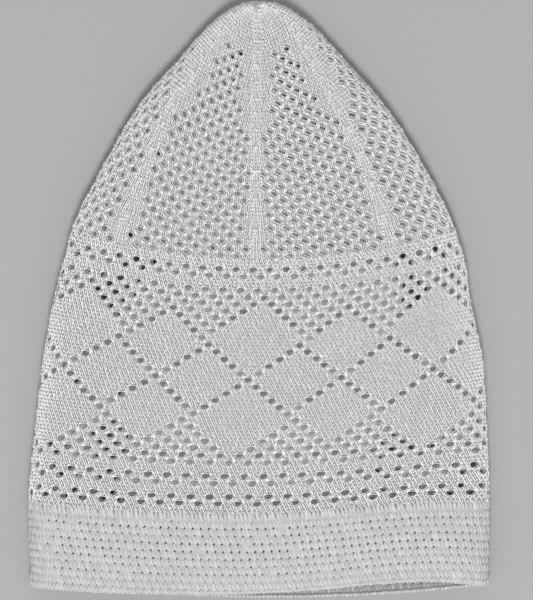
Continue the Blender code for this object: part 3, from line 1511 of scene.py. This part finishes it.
    def _ribs(self, stitches: StitchField) -> None:
        """Puts a wide V on each course of each rib, and a second one round it.

        Args:
            stitches: the field that the stitches join.
        """
        size = self.stitch
        rows = np.array([twice_row / 2 - self.level_middle for twice_row, _, _ in self.levels])
        rows = rows[self.lace.chart.down(rows) > self.tip_down]
        sink = np.full(len(rows), size.half_height + self.rib_sink)
        reaches = (-size.reach_up_share, size.reach_down_share)
        for number in range(self.chart.gores):
            rib_share = self.chart.first_rib_share + number / self.chart.gores
            for spreads in self.rib_spreads:
                for side, half_width, _ in size.legs:
                    ends = []
                    for spread, reach in zip(spreads, reaches):
                        down = np.maximum(self.lace.chart.down(rows + reach / 2), 0.0)
                        lap = np.maximum(self.form.lap_length(down), self.least_lap)
                        share = rib_share + side * spread * self.chart.pitch(down) / lap
                        ends.append(np.stack([share, down, sink], axis=-1))
                    stitches.add(*ends, half_width * self.narrow_share, size.half_height)

    def _legs(self, stitches: StitchField) -> None:
        """Puts a V of two legs on each stitch of the gores.

        Args:
            stitches: the field that the stitches join.
        """
        size = self.stitch
        for gore in range(self.chart.gores):
            middles = self._plain_stitches(gore)
            for side, half_width, extra_sink in size.legs:
                top = middles + np.array([side * size.top_spread_share / 2, -size.reach_up_share / 2])
                low = middles + np.array([side * size.bottom_spread_share / 2, size.reach_down_share / 2])
                level = size.half_height + extra_sink
                ends = self._places(gore, top, level), self._places(gore, low, level)
                stitches.add(*ends, half_width * self.narrow_share, size.half_height)

    def _plain_stitches(self, gore: int) -> np.ndarray:
        """The middle of each plain stitch of a gore, in columns and rows.

        Args:
            gore: the gore's number, from 0.

        Returns:
            The middles, one row each.
        """
        middles = []
        for twice_row, _, _ in self.levels:
            row = twice_row / 2 - self.level_middle
            down = float(self.lace.chart.down(row))
            if down < self.tip_down:
                continue
            pitch, half = float(self.chart.pitch(down)), float(self.chart.half_gore(down))
            most = int(half / pitch)
            for stitch in range(-most - 1, most + 1):
                inside = (abs(stitch + 0.5) + self.rib_room) * pitch <= half
                column = math.floor((stitch + 1) / 2)
                if inside and not self.chart.is_eyelet(gore, column, math.floor(row + 0.5)):
                    middles.append(((stitch + 0.5) / 2, row))
        return np.array(middles)


@dataclass
class BandKnit:
    """The dense rim band: rows of plump slanted stitches, with a small slanted gap below each one.

    Each leg of a stitch is the place of its upper end, the place of its lower end and its half width.
    Places are counted from the gap, in stitches across and rows down. The phases say how far along
    each row's gaps lie, in stitches. The edge's lifts are rows of (first share, last share, height).
    """

    form: CapForm
    lace: LaceKnit
    lace_row: int
    rng: np.random.Generator
    stitches_in_row: int = 120
    first_gap_share: float = 0.3153
    phases: tuple[float, ...] = (0.38, 0.00, 0.16, 0.57, 0.71, 0.97, 0.11, 0.57, 0.42, 0.87)
    gap_half_width: float = 0.125
    gap_half_height: float = 0.16
    gap_lean: float = 0.09
    legs: tuple[tuple[tuple[float, float], tuple[float, float], float], ...] = (
        ((-0.64, -1.08), (-0.22, 0.06), 0.00086),
        ((-0.10, -1.04), (0.29, 0.04), 0.00076),
    )
    upper_sink: float = 0.00084
    lower_sink: float = 0.00050
    half_height: float = 0.00050
    jitter: float = 0.05
    closed_share: float = 0.05
    closed_at_fold_share: float = 0.85
    closed_reach: float = 0.035
    furrow_share: float = 0.022
    furrow_swing: float = 0.0025
    furrow_waves: float = 420.0
    furrow_reach: float = 0.0035
    furrow_depth: float = 0.00045
    edge_lifts: tuple[tuple[float, float, float], ...] = ((0.08, 0.51, 0.0014), (0.52, 0.88, -0.0010))
    lace_dip: float = 0.00063
    join_rows: float = 1.0
    join_overlap: float = 0.22
    edge_stitches: int = 240
    edge_half_width: float = 0.00085
    edge_half_height: float = 0.00080
    edge_half_length: float = 0.55
    edge_slant: float = 0.0004
    edge_sink: float = 0.00120
    edge_room: float = 0.00060

    def __post_init__(self) -> None:
        """Sets the rows out between the lace and the rim."""
        self.top = float(self.lace.chart.down(self.lace_row + 0.5 + self.join_rows))
        self.row_height = (self.form.height - self.top) / len(self.phases)

    def knit(self, sheet: BaseSheet, stitches: StitchField) -> None:
        """Fills the band into a sheet and a field of stitches.

        Args:
            sheet: the base sheet that the band joins.
            stitches: the field that the stitches join.
        """
        above = self._lace_lap(sheet)
        for row in range(len(self.phases)):
            upper, lower = self._gap_lap(sheet, row, -1), self._gap_lap(sheet, row, 1)
            sheet.zip_laps(sheet.in_order(upper), above)
            for column in range(self.stitches_in_row):
                left, right = 2 * column, 2 * column + 1
                after = (right + 1) % len(upper)
                sheet.faces.append((lower[right], lower[after], upper[after], upper[right]))
                if self._is_closed(sheet.shares[upper[left]]):
                    sheet.faces.append((lower[left], lower[right], upper[right], upper[left]))
            above = sheet.in_order(lower)
        sheet.zip_laps(self._edge_lap(sheet), above)
        self._legs(stitches)
        self._edge(stitches)

    def _is_closed(self, share: float) -> bool:
        """Whether a gap is pulled shut, which happens more often near the left fold.

        Args:
            share: the gap's share of a lap.

        Returns:
            True where it is shut.
        """
        from_fold = min(share, 1.0 - share) / self.closed_reach
        near = math.exp(-(from_fold**2))
        return self.rng.random() < self.closed_share + (self.closed_at_fold_share - self.closed_share) * near

    def _furrow(self, share: np.ndarray, down: np.ndarray) -> np.ndarray:
        """The depth of the wavy furrow beside the left fold."""
        middle = self.furrow_share + self.furrow_swing * np.sin(down * self.furrow_waves)
        return self.furrow_depth * np.exp(-(((share - middle) / self.furrow_reach) ** 2))

    def _edge_lift(self, share: np.ndarray) -> np.ndarray:
        """How far the front layer's edge is drawn up, or, below zero, how far the back layer's hangs.

        Args:
            share: shares of a lap.

        Returns:
            The heights.
        """
        lift = np.zeros(np.shape(share))
        for first, last, height in self.edge_lifts:
            part = (np.mod(share, 1.0) - first) / (last - first)
            lift += height * np.sin(math.pi * np.clip(part, 0.0, 1.0))
        return lift

    def _down(self, row: float) -> float:
        """The distance below the tip of a row's place, kept inside the rim's edge."""
        return min(self.top + row * self.row_height, self.form.height - self.edge_room)

    def _share(self, column: np.ndarray | float, row: int) -> np.ndarray | float:
        """The share of a lap of places counted from the first gap of a row of gaps."""
        return self.first_gap_share + (column + self.phases[row]) / self.stitches_in_row

    def _gap_lap(self, sheet: BaseSheet, row: int, side: int) -> list[int]:
        """The two ends of every gap's upper or lower edge, in the order of the stitches.

        Args:
            sheet: the base sheet.
            row: the row of gaps.
            side: -1 for the upper edge and 1 for the lower one.

        Returns:
            The points' numbers.
        """
        down = self._down(row + side * self.gap_half_height + (0.0 if row else self.gap_half_height))
        points = []
        for column in range(self.stitches_in_row):
            for edge in (-self.gap_half_width, self.gap_half_width):
                share = self._share(column + edge - side * self.gap_lean, row) % 1.0
                points.append(sheet.loose_point(share, down))
        return points

    def _lace_lap(self, sheet: BaseSheet) -> list[int]:
        """The lace's lowest lap, in the order of its shares and sunk to the lace's own sheet.

        Args:
            sheet: the base sheet.

        Returns:
            The points' numbers.
        """
        columns = range(2 * self.lace.chart.columns)
        lap = [self.lace.corner(sheet, column, 2 * self.lace_row + 1) for column in columns]
        for point in lap:
            sheet.dips[point] += self.lace_dip
        return sheet.in_order(lap)

    def _edge_lap(self, sheet: BaseSheet) -> list[int]:
        """The lap along the rim's edge.

        Args:
            sheet: the base sheet.

        Returns:
            The points' numbers.
        """
        shares = np.arange(self.stitches_in_row) / self.stitches_in_row
        downs = self._down(len(self.phases)) - self._edge_lift(shares)
        return [sheet.loose_point(share, down) for share, down in zip(shares, downs)]

    def _legs(self, stitches: StitchField) -> None:
        """Puts two slanted legs on each stitch, which end at either side of the gap below it.

        Args:
            stitches: the field that the stitches join.
        """
        column = np.arange(self.stitches_in_row, dtype=float)
        for row in range(len(self.phases) + 1):
            phase_row = min(row, len(self.phases) - 1)
            sink, overlap = (self.upper_sink, 0.0) if row else (self.lower_sink, self.join_overlap)
            for upper, lower, half_width in self.legs:
                jitter = self.rng.normal(0.0, self.jitter, (2, self.stitches_in_row))
                top = row + upper[1] - overlap
                start = self._places(column + upper[0] + jitter[0], top, phase_row, sink)
                end = self._places(column + lower[0] + jitter[1], row + lower[1], phase_row, self.lower_sink)
                stitches.add(start, end, half_width, self.half_height)

    def _places(self, column: np.ndarray, row: float, phase_row: int, sink: float) -> np.ndarray:
        """(share, down, sink) of places along one row.

        Args:
            column: places across, in stitches.
            row: the place down, in rows.
            phase_row: the row whose phase counts.
            sink: the depth below the outer face.

        Returns:
            A row of (share, down, sink) for each place.
        """
        share = self._share(column, phase_row)
        down = np.full(len(column), self._down(row))
        if row >= len(self.phases):
            down = down - self._edge_lift(share)
        return np.stack([share, down, sink + self._furrow(share, down)], axis=-1)

    def _edge(self, stitches: StitchField) -> None:
        """Puts a chain of slanted lengths of yarn along the rim's edge.

        Args:
            stitches: the field that the stitches join.
        """
        column = np.arange(self.edge_stitches, dtype=float)
        middle = self.form.height - self.edge_half_height
        ends = []
        for side in (-1.0, 1.0):
            share = (column + side * self.edge_half_length) / self.edge_stitches
            down = middle + side * self.edge_slant - self._edge_lift(share)
            ends.append(np.stack([share, down, np.full(len(column), self.edge_sink)], axis=-1))
        stitches.add(*ends, self.edge_half_width, self.edge_half_height)


@dataclass(frozen=True)
class Studio:
    """The plain pale floor, the soft lights and the camera, which looks straight down."""

    floor_size: float = 6.0
    floor_shade: float = 0.40
    distance: float = 1.4
    cap_level: float = 0.008
    frame_height: float = 0.2226
    middle: tuple[float, float] = (0.00278, -0.00056)
    sensor: float = 36.0
    key_place: tuple[float, float, float] = (0.0, -0.68, 1.6)
    key_size: float = 0.45
    key_power: float = 19.0
    fill_shade: float = 0.56
    bounces: int = 16
    clip: tuple[float, float] = (0.01, 20.0)

    def build(self) -> None:
        """Makes the floor, the lights and the camera."""
        self._floor()
        self._lights()
        self._camera()

    def _floor(self) -> None:
        """A plain square floor at the height that the cap rests on."""
        half = self.floor_size / 2
        mesh = bpy.data.meshes.new("floor")
        corners = [(-half, -half, 0.0), (half, -half, 0.0), (half, half, 0.0), (-half, half, 0.0)]
        mesh.from_pydata(corners, [], [(0, 1, 2, 3)])
        mesh.materials.append(PlainPaint("pale_floor", self.floor_shade).build())
        floor = new_object("floor", mesh)

    def _lights(self) -> None:
        """One large soft light from beyond the rim, and an even fill from all round."""
        lamp = bpy.data.lights.new("key", "AREA")
        lamp.shape = "DISK"
        lamp.size = self.key_size
        lamp.energy = self.key_power
        key = new_object("key", lamp)
        key.location = self.key_place
        across, beyond, above = self.key_place
        tilt = math.atan2(math.hypot(across, beyond), above)
        key.rotation_euler = (tilt, 0.0, math.atan2(across, -beyond))
        world = bpy.data.worlds.new("fill")
        world.use_nodes = True
        sky = world.node_tree.nodes["Background"]
        sky.inputs["Color"].default_value = (1.0, 1.0, 1.0, 1.0)
        sky.inputs["Strength"].default_value = self.fill_shade
        scene = bpy.context.scene
        scene.world = world
        scene.cycles.max_bounces = self.bounces
        scene.cycles.diffuse_bounces = self.bounces
        scene.view_settings.view_transform = "Standard"

    def _camera(self) -> None:
        """A camera straight above, with the photograph's frame."""
        lens = bpy.data.cameras.new("camera")
        lens.sensor_width = self.sensor
        lens.lens = self.sensor * self.distance / self.frame_height
        lens.clip_start, lens.clip_end = self.clip
        camera = new_object("camera", lens)
        camera.location = (self.middle[0], self.middle[1], self.cap_level + self.distance)
        bpy.context.scene.camera = camera


@dataclass(frozen=True)
class ZoneFinish:
    """A zone's shades, how deep its base sheet lies and how finely its stitches are made.

    The shades are those of its yarn, of the sheet between its stitches and of its inside. The sheet
    between the stitches is painted darker than the yarn: painted shade in the hollows between them. The
    inside is painted lighter than the yarn in the lace, as painted light for the light through the cotton,
    and darker in the band, as painted shade for the band's shaded inside.
    """

    yarn_shade: float
    # painted shade: the sheet between the stitches is painted darker than the yarn for the shade between them
    gap_painted_shade: float
    # painted light in the lace and painted shade in the band: the inside is painted lighter or darker than
    # the yarn
    lining_painted_light_and_shade: float
    base_sink: float
    sides: int
    rings: int


@dataclass
class OpenworkCap:
    """The whole cap, dressed zone by zone."""

    form: CapForm
    tree: StitchTree
    rng: np.random.Generator
    # painted shade: the band's yarn is the wall's white yarn painted darker, so that the smooth band, which
    # shades itself less, reads as grey as the lace; its inside is painted darker still, for the shade inside
    # the band
    band_finish: ZoneFinish = ZoneFinish(0.57, 0.50, 0.36, 0.00052, 6, 4)
    # painted light: the lace's insides are painted lighter than its yarn, for the light through the cotton;
    # its sheets between stitches are painted darker, as painted shade
    wall_finish: ZoneFinish = ZoneFinish(0.89, 0.48, 0.95, 0.00115, 3, 3)
    crown_finish: ZoneFinish = ZoneFinish(0.90, 0.50, 0.95, 0.00115, 3, 3)
    wall_rows: tuple[int, int] = (-7, 25)
    crown_rows: tuple[int, int] = (-11, -8)
    lining_cloud_swing: float = 0.01

    def build(self) -> None:
        """Builds the band, the lace wall and the crown."""
        lace_chart = LaceChart(self.form)
        lace = LaceKnit(lace_chart, self.rng)
        self._band(lace)
        self._wall(lace)
        self._crown(lace, GoreChart(self.form, lace_chart))

    def _pieces(
        self, name: str, zone: Zone, sheet: BaseSheet, stitches: StitchField, finish: ZoneFinish
    ) -> None:
        """Makes a zone's base sheet and its two layers of stitches.

        Args:
            name: what the pieces' names start with.
            zone: the zone.
            sheet: its base sheet.
            stitches: its stitches.
            finish: its finish.
        """
        yarn = CottonYarn(zone.slot, finish.yarn_shade).build()
        # painted shade: the sheet between the stitches is a darker copy of the yarn, for the shade in the
        # hollows between them
        depth = CottonYarn(zone.slot + "_painted_shade_between_stitches", finish.gap_painted_shade).build()
        swing = self.lining_cloud_swing
        # painted light and shade: the inside is a lighter copy of the yarn in the lace, for the light through
        # the cotton, and a darker one in the band, for its shaded inside
        lining = CottonYarn(zone.slot + "_inside", finish.lining_painted_light_and_shade, cloud_swing=swing).build()
        dress(sheet.make(name + "_base", depth, lining), zone)
        for layer, part in both_layers(stitches.arrays(self.rng)).items():
            piece = self.tree.make(f"{name}_stitches_{layer}", part, yarn, finish.sides, finish.rings)
            dress(piece, zone)

    def _band(self, lace: LaceKnit) -> None:
        """The rim band.

        Args:
            lace: the tubular lace.
        """
        finish = self.band_finish
        sheet, stitches = BaseSheet(self.form, finish.base_sink), StitchField(self.form)
        BandKnit(self.form, lace, self.wall_rows[1], self.rng).knit(sheet, stitches)
        self._pieces("band", Zone.BAND, sheet, stitches, finish)

    def _wall(self, lace: LaceKnit) -> None:
        """The lace wall.

        Args:
            lace: the tubular lace.
        """
        finish = self.wall_finish
        sheet, stitches = BaseSheet(self.form, finish.base_sink), StitchField(self.form)
        lace.knit(sheet, stitches, *self.wall_rows)
        self._pieces("wall", Zone.WALL, sheet, stitches, finish)

    def _crown(self, lace: LaceKnit, gores: GoreChart) -> None:
        """The crown, from its tubular rows to the tip.

        Args:
            lace: the tubular lace.
            gores: where the gores' eyelets are.
        """
        finish = self.crown_finish
        sheet, stitches = BaseSheet(self.form, finish.base_sink), StitchField(self.form)
        lace.knit(sheet, stitches, *self.crown_rows)
        GoreKnit(self.form, lace, gores, self.rng).knit(sheet, stitches)
        self._pieces("crown", Zone.CROWN, sheet, stitches, finish)


def main() -> None:
    """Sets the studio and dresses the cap."""
    logging.basicConfig(level=logging.INFO, format="%(name)s: %(message)s")
    Studio().build()
    cap = OpenworkCap(CapForm(), StitchTree(), np.random.default_rng(SEED))
    cap.build()


if __name__ == "__main__":
    main()
